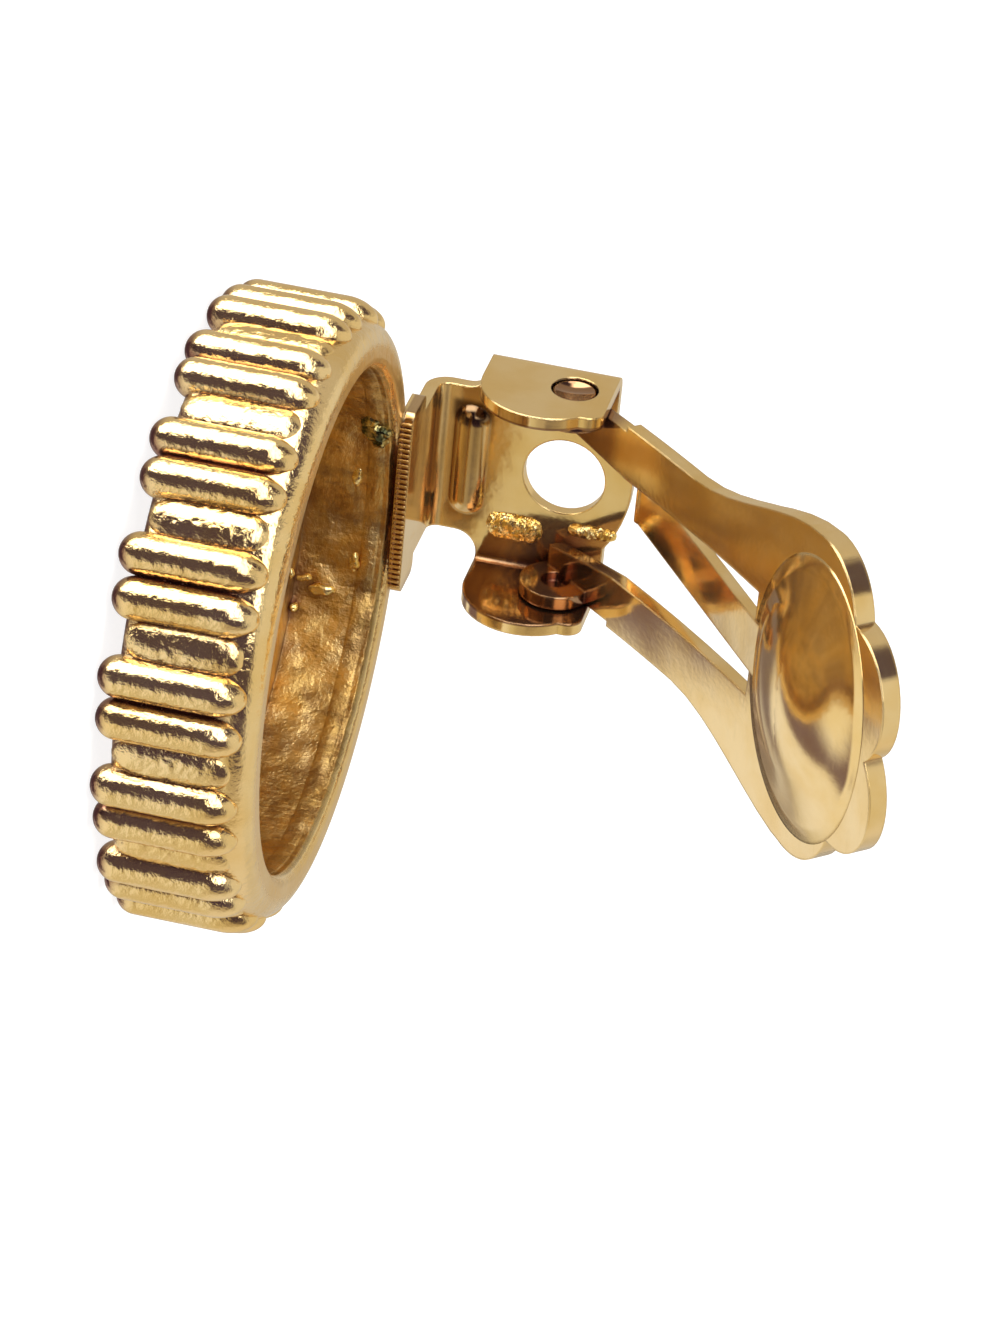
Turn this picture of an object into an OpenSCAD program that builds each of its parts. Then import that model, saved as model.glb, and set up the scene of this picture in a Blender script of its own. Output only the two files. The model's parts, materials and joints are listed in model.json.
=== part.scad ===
// Clip-on earring: a ribbed, hollow-backed round button with a stone in its front,
// a folded sheet yoke soldered to the back of its rim, and a hinged paddle.
// The front face lies down on Z = 0. +Z points to the back of the earring, +Y is
// the top of the earring as it is worn, and X is the direction of the hinge.

/* [Button] */
// Radius over the crests of the ribs
crest_r = 9.35; // [9:0.05:10]
// Depth of the button from its front rest plane to the back of its rim
button_depth = 4.55; // [4.2:0.05:5]
// Thickness of the rim between the grooves and the hollow
rim_wall = 1.35; // [1.2:0.05:1.6]
// Radius of each half-round rib
rib_r = 0.61; // [0.5:0.01:0.7]
// Number of pairs of ribs round the rim
rib_pairs = 16; // [12:1:18]
// Angle between the two ribs of a pair
rib_spread = 8; // [7:0.25:9]
// How much farther back one rib of each pair sits than the other
rib_stagger = 0.06; // [0.04:0.01:0.1]
// How far the rounded front ends of the ribs stand out in front of the shoulder
shoulder_set = 0.5; // [0.3:0.05:0.8]
// Distance of the ribs' rounded back ends from the back of the rim
lip_length = 0.72; // [0.7:0.02:0.9]
// Depth of the hollow behind the face
hollow_depth = 2.8; // [2.4:0.1:3.2]

/* [Stone] */
// Radius of the stone at its girdle
stone_r = 4.9; // [3:0.1:5.5]
// Height of the stone from its flat back to its table
stone_h = 1.15; // [0.9:0.05:1.2]
// How far the table lies below the rim of its setting
stone_sink = 0.12; // [0.05:0.01:0.2]
// Gap between the stone and its setting
stone_gap = 0.1; // [0.05:0.01:0.15]
// Width of the setting's rim
setting_w = 1.1; // [0.8:0.1:1.5]

/* [Yoke] */
// Thickness of the yoke's sheet
yoke_t = 0.4; // [0.35:0.05:0.5]
// Half of the yoke's width over its two ears
yoke_half = 3.77; // [3.5:0.01:4]
// Half of the width of the strip between the foot and the yoke
strip_half = 2.5; // [2:0.1:2.8]
// Half of the length of the soldered foot
foot_half = 3.1; // [2.6:0.1:3.4]
// Distance from the button's axis to the inner face of the web
web_y = 10.75; // [10.5:0.05:11.5]
// Height of the lower edge of the ears
ear_low_z = 6.45; // [6.2:0.05:6.8]
// Height of the upper edge of the ears
ear_high_z = 10.4; // [10.2:0.05:10.6]
// Height of the rounded end of the web
web_end_z = 11.1; // [11:0.05:11.2]
// Height of the rounded ears above the web
ear_reach = 3.4; // [3.2:0.05:3.6]
// Radius of the round hole through the web
web_hole_r = 1.27; // [1:0.01:1.4]
// Height of the centre of that hole
web_hole_z = 8.98; // [8.8:0.01:9.1]

/* [Hinge] */
// Distance of the hinge axis from the inner face of the web
hinge_rise = 1.25; // [1.2:0.01:1.4]
// Height of the hinge axis
hinge_z = 9.25; // [9.1:0.01:9.4]
// Radius of the hinge holes in the ears
hinge_hole_r = 0.72; // [0.6:0.01:0.8]
// Radial clearance of the paddle's pivots in those holes
hinge_clear = 0.08; // [0.03:0.01:0.1]
// Opening of the paddle as drawn, measured from the plane of the button
open_angle = 41.5; // [30:0.5:42]

/* [Paddle] */
// Thickness of the paddle's sheet
paddle_t = 0.45; // [0.4:0.05:0.5]
// Largest distance of the bowed sheet's inner face from the hinge axis
plate_rise = 1.14; // [1.05:0.01:1.2]
// Radius of the bow of the sheet, seen from the side
bow_r = 65; // [50:1:80]
// Distance from the hinge at which the bowed sheet is farthest out
bow_s = 10; // [9:0.1:11]
// Half of the paddle's width at the waist of its arms
arm_half = 3.47; // [3.4:0.01:3.6]
// Half of the paddle's width at its pad
pad_half = 5.25; // [5:0.05:5.5]
// Radius of the two large scallops at the sides of the pad
side_lobe_r = 2.2; // [2:0.05:2.4]
// Distance of their centres from the hinge axis
side_lobe_s = 12.3; // [12:0.05:12.6]
// Radius of the two scallops at the end of the pad
end_lobe_r = 2.05; // [1.9:0.05:2.2]
// Distance of their centres from the hinge axis
end_lobe_s = 14.55; // [14.4:0.05:14.7]
// Distance of their centres from the middle of the pad
end_lobe_x = 1.55; // [1.4:0.05:1.7]
// Width of the turned-over edge of the pad
flange_w = 0.4; // [0.35:0.05:0.5]
// Depth of that edge where it is deepest
flange_depth = 0.6; // [0.55:0.05:0.8]
// Height of the pad's raised oval boss
boss_h = 0.8; // [0.5:0.05:0.9]
// Half of the boss's length across the paddle
boss_half_x = 3.75; // [3.5:0.05:3.8]
// Half of the boss's length along the paddle
boss_half_s = 2.9; // [2.7:0.05:3]
// Distance of the boss's centre from the hinge axis
boss_s = 12.5; // [12.3:0.05:12.6]
// Half of the width of the spring tongue
tongue_half = 0.85; // [0.7:0.05:0.9]

/* [Hidden] */
$fn = 48;

// Length by which shapes reach into their neighbours, or past them where they cut
lap = 1;

// Height of the valleys' floor over the axes of the ribs
valley_rise = 0.06;
rib_axis_r = crest_r - rib_r;
groove_r = rib_axis_r + valley_rise;
rib_phase = 180 / rib_pairs;
rib_back_z = button_depth - lip_length;
crest_y = rib_axis_r * cos(rib_phase - rib_spread / 2) + rib_r;
edge_r = 0.4;
lip_r = 0.7;
rim_edge_r = 0.3;
rim_in_r = groove_r - rim_wall;
hollow_z = button_depth - hollow_depth;

// Gap between the stone's flat back and the plate that it lies on
seat_gap = 0.03;
seat_z = stone_sink + stone_h + seat_gap;
setting_in_r = stone_r + stone_gap;
setting_out_r = setting_in_r + setting_w;
setting_edge_r = 0.25;

// The cut of the stone, in shares of its radius and height
table_share = 0.6;
star_share = 0.84;
star_depth = 0.34;
girdle_depth = 0.75;
table_edge = 0.05;
star_edge = 0.01;

web_out_y = web_y + yoke_t;
axis_shift_y = (web_out_y - crest_y) / 2;
foot_overhang = 0.2;
foot_near_y = rim_in_r - foot_overhang;
foot_width = 1.6;
foot_corner_r = 0.3;
foot_sink = 0.05;
foot_z = button_depth - foot_sink;
strip_start_y = foot_near_y + 0.5;
bend_in_r = 0.35;
bend_out_r = bend_in_r + yoke_t;
web_start = 0.6;
web_end_r = 4;
web_end_half = 2.4;
ear_bend_in_r = 0.15;
ear_bend_r = yoke_t + ear_bend_in_r;
ear_corner_r = 0.5;
ear_in_x = yoke_half - yoke_t;
hinge_y = web_y - hinge_rise;

bar_r = 0.6;
bar_half = 1.95;
bar_z = 6;
bar_sink = 0.25;
bar_floor = 0.2;

tab_gap = 0.08;
tab_t = 0.42;
tab_out_x = ear_in_x - tab_gap;
tab_in_x = tab_out_x - tab_t;
tab_disc_r = 1.1;
pivot_r = hinge_hole_r - hinge_clear;
pivot_set = 0.06;
pivot_end_x = yoke_half - pivot_set;
dimple_r = 0.45;
dimple_depth = 0.3;
arm_in_x = 1.75;
arm_start_s = -0.9;
arm_clear_s = 2.1;
flare_start_s = 5.4;
flare_end_s = 12.3;
slot_end_s = 9.3;
slot_mouth_half = 2.3;
slot_mouth_s = 2.2;
pad_fill_half = 2.9;
tongue_tip_s = 0.75;
tongue_tip_z = 2.18;
tongue_root_s = slot_end_s + 0.4;
tongue_root_z = 1.02;
tongue_t = 0.38;
tongue_tip_r = tongue_t / 2 + 0.05;
flange_bow_r = 28;
flange_mid_s = side_lobe_s - 0.1;
barrel_half = 8;
boss_box = [10, 8];
boss_reach = 2;
boss_root = 0.2;
boss_base_z = plate_rise - (boss_s - bow_s) * (boss_s - bow_s) / (2 * bow_r);

// Steps along the flared sides of the paddle
flare_steps = 12;

module placed_on_axis() {
    translate([0, axis_shift_y, 0]) children();
}

// A rectangle from corner a to corner b with round corners
module round_rect(a, b, r) {
    translate([a[0] + r, a[1]]) square([b[0] - a[0] - 2 * r, b[1] - a[1]]);
    translate([a[0], a[1] + r]) square([b[0] - a[0], b[1] - a[1] - 2 * r]);
    for (x = [a[0] + r, b[0] - r], y = [a[1] + r, b[1] - r]) translate([x, y]) circle(r);
}

// Section of the button: rim with its rounded back lip, face plate and setting
module button_section() {
    translate([rim_in_r, shoulder_set + edge_r])
        square([groove_r - rim_in_r, button_depth - lip_r - shoulder_set - edge_r]);
    translate([rim_in_r, shoulder_set]) square([groove_r - edge_r - rim_in_r, lap]);
    translate([groove_r - edge_r, shoulder_set + edge_r]) circle(edge_r);
    translate([groove_r - lip_r, button_depth - lip_r]) circle(lip_r, $fn = 72);
    translate([rim_in_r + rim_edge_r, button_depth - lip_r - lap])
        square([groove_r - lip_r - rim_in_r - rim_edge_r, lip_r + lap]);
    translate([rim_in_r, button_depth - rim_edge_r - lap]) square([2 * rim_edge_r, lap]);
    translate([rim_in_r + rim_edge_r, button_depth - rim_edge_r]) circle(rim_edge_r);
    difference() {
        translate([0, shoulder_set]) square([rim_in_r + edge_r, hollow_z - shoulder_set]);
        translate([-lap, -lap]) square([setting_in_r + lap, seat_z + lap]);
    }
    translate([setting_in_r, 0]) square([setting_w - setting_edge_r, shoulder_set + setting_edge_r]);
    translate([setting_in_r, setting_edge_r]) square([setting_w, shoulder_set]);
    translate([setting_out_r - setting_edge_r, setting_edge_r]) circle(setting_edge_r);
}

// Half of the section of a bar with round ends, for turning about its own axis
module half_capsule(r, length) {
    intersection() {
        square([r, length]);
        union() {
            translate([0, r]) circle(r);
            translate([0, r]) square([r, length - 2 * r]);
            translate([0, length - r]) circle(r);
        }
    }
}

module capsule(r, length) {
    rotate_extrude() half_capsule(r, length);
}

module ribs() {
    for (i = [0:rib_pairs - 1], side = [-1, 1]) {
        lead = (i < rib_pairs / 2 ? 1 : -1) * side;
        rotate([0, 0, rib_phase + i * 360 / rib_pairs + side * rib_spread / 2])
            translate([rib_axis_r, 0, (lead + 1) * rib_stagger / 2]) capsule(rib_r, rib_back_z);
    }
}

// Foot, strip and first bend of the yoke, seen along X and extruded across the strip
module strip_section() {
    bend_y = web_out_y - bend_out_r;
    bend_z = foot_z + bend_out_r;
    translate([strip_start_y, foot_z]) square([bend_y - strip_start_y, yoke_t]);
    translate([bend_y, bend_z]) intersection() {
        difference() {
            circle(bend_out_r);
            circle(bend_in_r);
        }
        translate([0, -bend_out_r]) square(bend_out_r);
    }
    translate([web_y, bend_z]) square([yoke_t, web_start]);
}

// Outline of the web in X and Z: strip, concave shoulders, full width and round end
module web_outline() {
    full = yoke_half - ear_bend_r;
    shoulder_r = full - strip_half;
    start_z = foot_z + bend_out_r;
    difference() {
        translate([-full, start_z]) square([2 * full, ear_high_z - start_z]);
        for (side = [-1, 1]) {
            translate([side * full, ear_low_z - shoulder_r]) circle(shoulder_r);
            translate([side * full - shoulder_r, start_z - lap])
                square([2 * shoulder_r, ear_low_z - shoulder_r - start_z + lap]);
        }
    }
    translate([0, ear_high_z]) intersection() {
        translate([0, web_end_z - ear_high_z - web_end_r]) circle(web_end_r);
        translate([-web_end_half, -lap / 2]) square([2 * web_end_half, 2 * lap]);
    }
}

// Outline of one ear in Y, away from the web, and Z
module ear_outline() {
    lobe_r = (ear_high_z - ear_low_z) / 2;
    lobe_y = ear_reach - lobe_r;
    start_y = ear_bend_r - yoke_t;
    translate([start_y, ear_low_z]) square([lobe_y - start_y, ear_high_z - ear_low_z]);
    intersection() {
        translate([lobe_y, ear_low_z + lobe_r]) circle(lobe_r, $fn = 96);
        translate([start_y, ear_low_z]) square([ear_reach, ear_high_z - ear_low_z]);
    }
    round_rect(
        [start_y + ear_corner_r, ear_low_z + lap],
        [ear_reach - ear_corner_r, ear_high_z],
        ear_corner_r
    );
}

module ear() {
    translate([ear_in_x, -web_y, 0]) rotate([90, 0, 90]) linear_extrude(yoke_t) ear_outline();
    translate([yoke_half - ear_bend_r, ear_bend_r - web_out_y, ear_low_z])
        linear_extrude(ear_high_z - ear_low_z) intersection() {
            difference() {
                circle(ear_bend_r);
                circle(ear_bend_r - yoke_t);
            }
            translate([0, -ear_bend_r]) square(ear_bend_r);
        }
}

// Rounded stiffening bar pressed up out of the web near the strip
module stiffening_bar() {
    intersection() {
        translate([-bar_half, -web_y - bar_sink, bar_z]) rotate([0, 90, 0])
            capsule(bar_r, 2 * bar_half);
        translate([-bar_half - lap, -web_y - bar_floor, bar_z - lap])
            cube([2 * (bar_half + lap), 2 * lap, 2 * lap]);
    }
}

module yoke() {
    difference() {
        union() {
            translate([0, -foot_near_y - foot_width, foot_z]) linear_extrude(yoke_t)
                round_rect([-foot_half, 0], [foot_half, foot_width], foot_corner_r);
            translate([-strip_half, 0, 0]) mirror([0, 1, 0]) rotate([90, 0, 90])
                linear_extrude(2 * strip_half) strip_section();
            translate([0, -web_y, 0]) rotate([90, 0, 0]) linear_extrude(yoke_t) web_outline();
            ear();
            mirror([1, 0, 0]) ear();
            stiffening_bar();
        }
        translate([0, lap - web_y, web_hole_z]) rotate([90, 0, 0])
            cylinder(r = web_hole_r, h = 3 * lap);
        translate([-yoke_half - lap, -hinge_y, hinge_z]) rotate([0, 90, 0])
            cylinder(r = hinge_hole_r, h = 2 * (yoke_half + lap));
    }
}

// The ribbed casting with the yoke soldered to the back of its rim: one piece of metal
module button() {
    color("gold") placed_on_axis() union() {
        rotate_extrude($fn = 96) button_section();
        ribs();
        yoke();
    }
}

// Flat-backed round stone, cut with a table, eight star facets and eight kites
module rhinestone() {
    girdle_z = stone_sink + girdle_depth * stone_h;
    back_z = stone_sink + stone_h;
    color("aliceblue") placed_on_axis() hull() {
        translate([0, 0, stone_sink]) cylinder(r = table_share * stone_r, h = table_edge, $fn = 8);
        translate([0, 0, stone_sink + star_depth * stone_h]) rotate([0, 0, 22.5])
            cylinder(r = star_share * stone_r, h = star_edge, $fn = 8);
        translate([0, 0, girdle_z]) cylinder(r = stone_r, h = back_z - girdle_z, $fn = 16);
    }
}

function smooth(x) = x * x * (3 - 2 * x);
function ramp(x) = smooth(min(1, max(0, x)));
function side_x(s) =
    arm_half + (pad_half - arm_half) * ramp((s - flare_start_s) / (flare_end_s - flare_start_s));

// Flared half outlines of the paddle, in X and distance from the hinge
module flare_outline(inset) {
    ds = (side_lobe_s - arm_clear_s) / flare_steps;
    stations = [for (i = [0:flare_steps]) arm_clear_s + i * ds];
    polygon(concat(
        [for (s = stations) [side_x(s) - inset, s]],
        [for (i = [flare_steps:-1:0]) [inset - side_x(stations[i]), stations[i]]]
    ));
}

// The flare ends in four scallops, drawn in by an inset
module pad_outline(inset = 0) {
    flare_outline(inset);
    for (side = [-1, 1]) {
        translate([side * (pad_half - side_lobe_r), side_lobe_s]) circle(side_lobe_r - inset, $fn = 96);
        translate([side * end_lobe_x, end_lobe_s]) circle(end_lobe_r - inset, $fn = 96);
    }
    translate([-pad_fill_half, side_lobe_s - lap])
        square([2 * pad_fill_half, end_lobe_s - side_lobe_s + lap]);
}

module plate_outline() {
    difference() {
        union() {
            pad_outline();
            translate([-tab_out_x, arm_start_s])
                square([2 * tab_out_x, slot_mouth_s - arm_start_s]);
        }
        translate([-arm_in_x, arm_start_s - lap])
            square([2 * arm_in_x, slot_end_s - arm_start_s + lap]);
        polygon([
            [-slot_mouth_half, arm_start_s - lap],
            [slot_mouth_half, arm_start_s - lap],
            [arm_in_x, slot_mouth_s],
            [-arm_in_x, slot_mouth_s]
        ]);
    }
}

// A barrel-shaped solid with its axis across the paddle
module barrel(top_z, top_s, r) {
    translate([-barrel_half, top_s, top_z - r]) rotate([0, 90, 0])
        cylinder(r = r, h = 2 * barrel_half, $fn = 360);
}

// The oval dome of the boss: a short stretch of a barrel that is bowed both ways
module oval_dome(skin = 0) {
    curve_s = (boss_half_s * boss_half_s + boss_h * boss_h) / (2 * boss_h);
    curve_x = (boss_half_x * boss_half_x + boss_h * boss_h) / (2 * boss_h);
    translate([0, boss_s, boss_base_z + curve_s - boss_h]) rotate([0, 90, 0])
        rotate_extrude($fn = 96) intersection() {
            translate([curve_s - curve_x, 0]) circle(curve_x - skin, $fn = 180);
            translate([0, -boss_half_x]) square([curve_s, 2 * boss_half_x]);
        }
}

// Room round the boss, from well over it down to a height
module boss_room(height) {
    translate([-boss_box[0] / 2, boss_s - boss_box[1] / 2, boss_base_z - boss_reach])
        cube([boss_box[0], boss_box[1], height]);
}

// Side plate square to the hinge axis, with the pivot that turns in the ear
module tab() {
    translate([tab_in_x, 0, 0]) rotate([0, 90, 0]) {
        difference() {
            union() {
                cylinder(r = tab_disc_r, h = tab_out_x - tab_in_x);
                cylinder(r = pivot_r, h = pivot_end_x - tab_in_x);
            }
            translate([0, 0, -lap]) cylinder(r = dimple_r, h = lap + dimple_depth);
        }
    }
}

// Spring tongue, from the end of the slots back to the end of the web
module tongue() {
    run = tongue_root_s - tongue_tip_s;
    slope = atan2(tongue_tip_z - tongue_root_z, run);
    translate([0, tongue_root_s, tongue_root_z]) rotate([-slope, 0, 0]) {
        translate([-tongue_half, -run / cos(slope), 0])
            cube([2 * tongue_half, run / cos(slope), tongue_t]);
        translate([-tongue_half, -run / cos(slope), tongue_t / 2]) rotate([0, 90, 0])
            cylinder(r = tongue_tip_r, h = 2 * tongue_half);
    }
}

// The paddle before it is turned: X across, Y away from the hinge, Z away from the ear
module paddle_flat() {
    difference() {
        union() {
            intersection() {
                linear_extrude(plate_rise + lap) plate_outline();
                barrel(plate_rise + paddle_t, bow_s, bow_r + paddle_t);
            }
            intersection() {
                linear_extrude(plate_rise + lap) difference() {
                    pad_outline();
                    pad_outline(flange_w);
                }
                barrel(plate_rise + flange_depth, flange_mid_s, flange_bow_r);
            }
        }
        barrel(plate_rise, bow_s, bow_r);
    }
    difference() {
        intersection() {
            oval_dome();
            boss_room(boss_reach + boss_root);
        }
        intersection() {
            oval_dome(paddle_t);
            boss_room(boss_reach + lap);
        }
    }
    tab();
    mirror([1, 0, 0]) tab();
    tongue();
}

module paddle() {
    color("goldenrod") placed_on_axis()
        translate([0, -hinge_y, hinge_z]) rotate([open_angle, 0, 0]) paddle_flat();
}

button();
rhinestone();
paddle();
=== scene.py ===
import json
import logging
import math
from dataclasses import dataclass, field
from enum import Enum

import bmesh
import bpy
from mathutils import Matrix, Vector, noise


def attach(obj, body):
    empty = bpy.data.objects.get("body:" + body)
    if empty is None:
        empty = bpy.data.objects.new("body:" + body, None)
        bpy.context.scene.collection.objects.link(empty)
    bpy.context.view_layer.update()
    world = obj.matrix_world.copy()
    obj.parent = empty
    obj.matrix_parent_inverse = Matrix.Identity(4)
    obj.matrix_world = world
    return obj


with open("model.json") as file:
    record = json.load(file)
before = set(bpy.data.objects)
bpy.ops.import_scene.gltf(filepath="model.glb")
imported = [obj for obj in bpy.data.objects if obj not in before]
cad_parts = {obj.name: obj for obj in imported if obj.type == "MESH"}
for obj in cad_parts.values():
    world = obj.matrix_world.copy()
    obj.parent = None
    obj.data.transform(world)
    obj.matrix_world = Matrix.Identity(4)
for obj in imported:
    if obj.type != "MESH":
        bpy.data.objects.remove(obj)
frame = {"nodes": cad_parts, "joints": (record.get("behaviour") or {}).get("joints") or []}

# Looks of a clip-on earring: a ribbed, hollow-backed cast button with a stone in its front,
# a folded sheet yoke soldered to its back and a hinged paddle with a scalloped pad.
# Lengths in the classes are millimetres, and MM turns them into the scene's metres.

MM = 0.001
# How far the painted recess shade looks for neighbours, in millimetres.
RECESS_REACH = 0.9
METAL_SHARE = 0.955
LOG = logging.getLogger("earring")

Number = int | float


class Slot(Enum):
    """Material slots of the record."""

    CASTING = "gold_casting"
    SHEET = "gold_sheet"
    STONE = "stone"


class Body(Enum):
    """Bodies that the hinge joins."""

    FRONT = "earring_front"
    PADDLE = "paddle_body"


class Term:
    """A number, colour or vector that varies over a surface. Sums on it add nodes."""

    def __init__(self, graph: "Graph", socket: bpy.types.NodeSocket) -> None:
        """Keeps the graph and the output socket."""
        self.graph = graph
        self.socket = socket

    def __add__(self, other: "Term | Number") -> "Term":
        """Sum."""
        return self.graph.math("ADD", self, other)

    def __radd__(self, other: Number) -> "Term":
        """Sum with the number first."""
        return self.graph.math("ADD", other, self)

    def __sub__(self, other: "Term | Number") -> "Term":
        """Difference."""
        return self.graph.math("SUBTRACT", self, other)

    def __rsub__(self, other: Number) -> "Term":
        """Difference with the number first."""
        return self.graph.math("SUBTRACT", other, self)

    def __mul__(self, other: "Term | Number") -> "Term":
        """Product."""
        return self.graph.math("MULTIPLY", self, other)

    def __rmul__(self, other: Number) -> "Term":
        """Product with the number first."""
        return self.graph.math("MULTIPLY", other, self)

    def __truediv__(self, other: "Term | Number") -> "Term":
        """Quotient."""
        return self.graph.math("DIVIDE", self, other)

    def __pow__(self, power: Number) -> "Term":
        """Power."""
        return self.graph.math("POWER", self, power)

    def __neg__(self) -> "Term":
        """Opposite."""
        return self.graph.math("MULTIPLY", self, -1.0)

    def __abs__(self) -> "Term":
        """Distance from zero."""
        return self.graph.math("ABSOLUTE", self)

    def fraction(self) -> "Term":
        """What is left above the whole number below."""
        return self.graph.math("FRACT", self)

    def root(self) -> "Term":
        """Square root."""
        return self.graph.math("SQRT", self)

    def rise(self, low: Number, high: Number) -> "Term":
        """A soft step from 0 at low to 1 at high.

        Args:
            low: Value where the step starts.
            high: Value where it ends, which may be less than low for a step down.

        Returns:
            The step, between 0 and 1.
        """
        if low < high:
            return self.graph.node(
                "ShaderNodeMapRange", {"interpolation_type": "SMOOTHSTEP"},
                {0: self, 1: low, 2: high},
            )
        return 1.0 - self.rise(high, low)


class Graph:
    """Adds nodes to one tree, of a material, the world or a geometry modifier."""

    def __init__(self, tree: bpy.types.NodeTree) -> None:
        """Starts from an emptied tree."""
        self.tree = tree
        tree.nodes.clear()

    def node(
        self,
        kind: str,
        settings: dict[str, object] | None = None,
        inputs: dict[int | str, object] | None = None,
        output: int | str = 0,
    ) -> Term:
        """Adds one node.

        Args:
            kind: The node's type.
            settings: Properties, which are set first. "stops" gives a colour ramp's
                (place, colour) pairs.
            inputs: A value or a Term for each socket, by number or name.
            output: The output that is returned, by number or name.

        Returns:
            The node's chosen output.
        """
        made = self.tree.nodes.new(kind)
        for name, value in (settings or {}).items():
            if name == "stops":
                self._set_stops(made.color_ramp, value)
            else:
                setattr(made, name, value)
        for key, value in (inputs or {}).items():
            if isinstance(value, Term):
                self.tree.links.new(value.socket, made.inputs[key])
            else:
                made.inputs[key].default_value = value
        outlet = made.outputs[output] if len(made.outputs) else None
        return Term(self, outlet)

    @staticmethod
    def _set_stops(ramp: bpy.types.ColorRamp, stops: list[tuple[float, tuple]]) -> None:
        """Puts a colour ramp's stops in place."""
        while len(ramp.elements) < len(stops):
            ramp.elements.new(1.0)
        for element, (place, colour) in zip(ramp.elements, stops):
            element.position = place
            element.color = colour

    def math(self, operation: str, *terms: "Term | Number") -> Term:
        """Adds a Math node on numbers."""
        return self.node("ShaderNodeMath", {"operation": operation}, dict(enumerate(terms)))

    def vector_math(self, operation: str, *terms: object, output: int = 0) -> Term:
        """Adds a Vector Math node."""
        return self.node(
            "ShaderNodeVectorMath", {"operation": operation}, dict(enumerate(terms)), output
        )

    def scaled(self, vector: Term, factors: tuple[float, float, float]) -> Term:
        """Multiplies a vector by one factor for each axis."""
        return self.vector_math("MULTIPLY", vector, factors)

    def dot(self, vector: Term, axis: Vector) -> Term:
        """Length of a vector along an axis."""
        return self.vector_math("DOT_PRODUCT", vector, tuple(axis), output=1)

    def split(self, vector: Term) -> tuple[Term, Term, Term]:
        """Separates a vector into X, Y and Z."""
        made = self.node("ShaderNodeSeparateXYZ", None, {0: vector})
        return tuple(Term(self, outlet) for outlet in made.socket.node.outputs)

    def mix(self, factor: Term, first: object, second: object) -> Term:
        """Mixes two colours, from the first at 0 to the second at 1."""
        return self.node(
            "ShaderNodeMix", {"data_type": "RGBA"}, {0: factor, 6: first, 7: second}, 2
        )

    def place(self) -> Term:
        """Place on the piece in its own coordinates, in millimetres."""
        metres = self.node("ShaderNodeTexCoord", None, None, "Object")
        return self.scaled(metres, (1 / MM,) * 3)

    def noise(self, place: Term, scale: float, detail: float = 2.0, rough: float = 0.5) -> Term:
        """A noise of a given scale per millimetre, about 0.5 in the middle."""
        return self.node(
            "ShaderNodeTexNoise", None,
            {"Vector": place, "Scale": scale, "Detail": detail, "Roughness": rough},
        )

    def bump(self, height: Term, depth: float, below: Term | None = None) -> Term:
        """Turns a height into a normal.

        Args:
            height: The height, between 0 and 1.
            depth: What a height of 1 is worth, in millimetres.
            below: The normal that it is laid over.

        Returns:
            The new normal.
        """
        inputs: dict[int | str, object] = {"Height": height, "Distance": depth * MM}
        if below is not None:
            inputs["Normal"] = below
        return self.node("ShaderNodeBump", None, inputs)


def painted_recess_shade(
    graph: Graph, colour: Term, tint: tuple[float, ...], reach: float = RECESS_REACH
) -> Term:
    """Paints shade into a colour where the surface is hemmed in, found by ambient occlusion: darker
    towards the narrowest corners.

    Args:
        graph: The material's graph.
        colour: The open colour.
        tint: The painted shade colour of the narrowest corners.
        reach: How far away a neighbour still counts, in millimetres.

    Returns:
        The mixed colour.
    """
    openness = graph.node(
        "ShaderNodeAmbientOcclusion", {"samples": 6}, {"Distance": reach * MM}, "AO"
    )
    return graph.mix(openness.rise(0.75, 0.25), colour, tint)


def linear(red: int, green: int, blue: int) -> tuple[float, float, float, float]:
    """Turns an eye-measured colour of 0 to 255 into the linear colour of a shader."""
    return tuple(((part / 255 + 0.055) / 1.055) ** 2.4 for part in (red, green, blue)) + (1.0,)


def new_graph(name: str) -> tuple[bpy.types.Material, Graph]:
    """Makes an empty material.

    Args:
        name: The material's name.

    Returns:
        The material and the graph of its nodes.
    """
    material = bpy.data.materials.new(name)
    material.use_nodes = True
    return material, Graph(material.node_tree)


def metal(graph: Graph, colour: Term, rough: Term, normal: Term) -> None:
    """Ends a metal's graph with its shader and output."""
    shader = graph.node(
        "ShaderNodeBsdfPrincipled", None,
        {"Base Color": colour, "Metallic": METAL_SHARE, "Roughness": rough, "Normal": normal},
    )
    graph.node("ShaderNodeOutputMaterial", None, {0: shader})


@dataclass(frozen=True)
class GoldTone:
    """Colours of one gold plating, as it reflects white, and the painted shade colour that is laid
    over it.
    """

    bright: tuple[float, ...] = linear(252, 223, 164)
    deep: tuple[float, ...] = linear(246, 211, 140)
    matt: tuple[float, ...] = linear(204, 166, 96)
    stain: tuple[float, ...] = linear(130, 90, 54)
    amber: tuple[float, ...] = linear(240, 184, 84)
    # Painted shade for recesses, between the ears and near the hinge; not a colour of the plating.
    painted_shade: tuple[float, ...] = linear(136, 90, 74)


@dataclass(frozen=True)
class ButtonShape:
    """Sizes of the cast button that its finish and its small details follow."""

    axis_y: float = 0.935
    depth: float = 4.55
    pairs: int = 16
    spread: float = 8.0
    rib_axis_r: float = 8.74
    rib_r: float = 0.61
    rib_half_angle: float = 4.0
    rib_back_z: float = 3.83
    hollow_r: float = 7.45
    hollow_z: float = 1.75

    @property
    def pitch(self) -> float:
        """Angle from one pair of ribs to the next, in degrees."""
        return 360 / self.pairs


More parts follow.
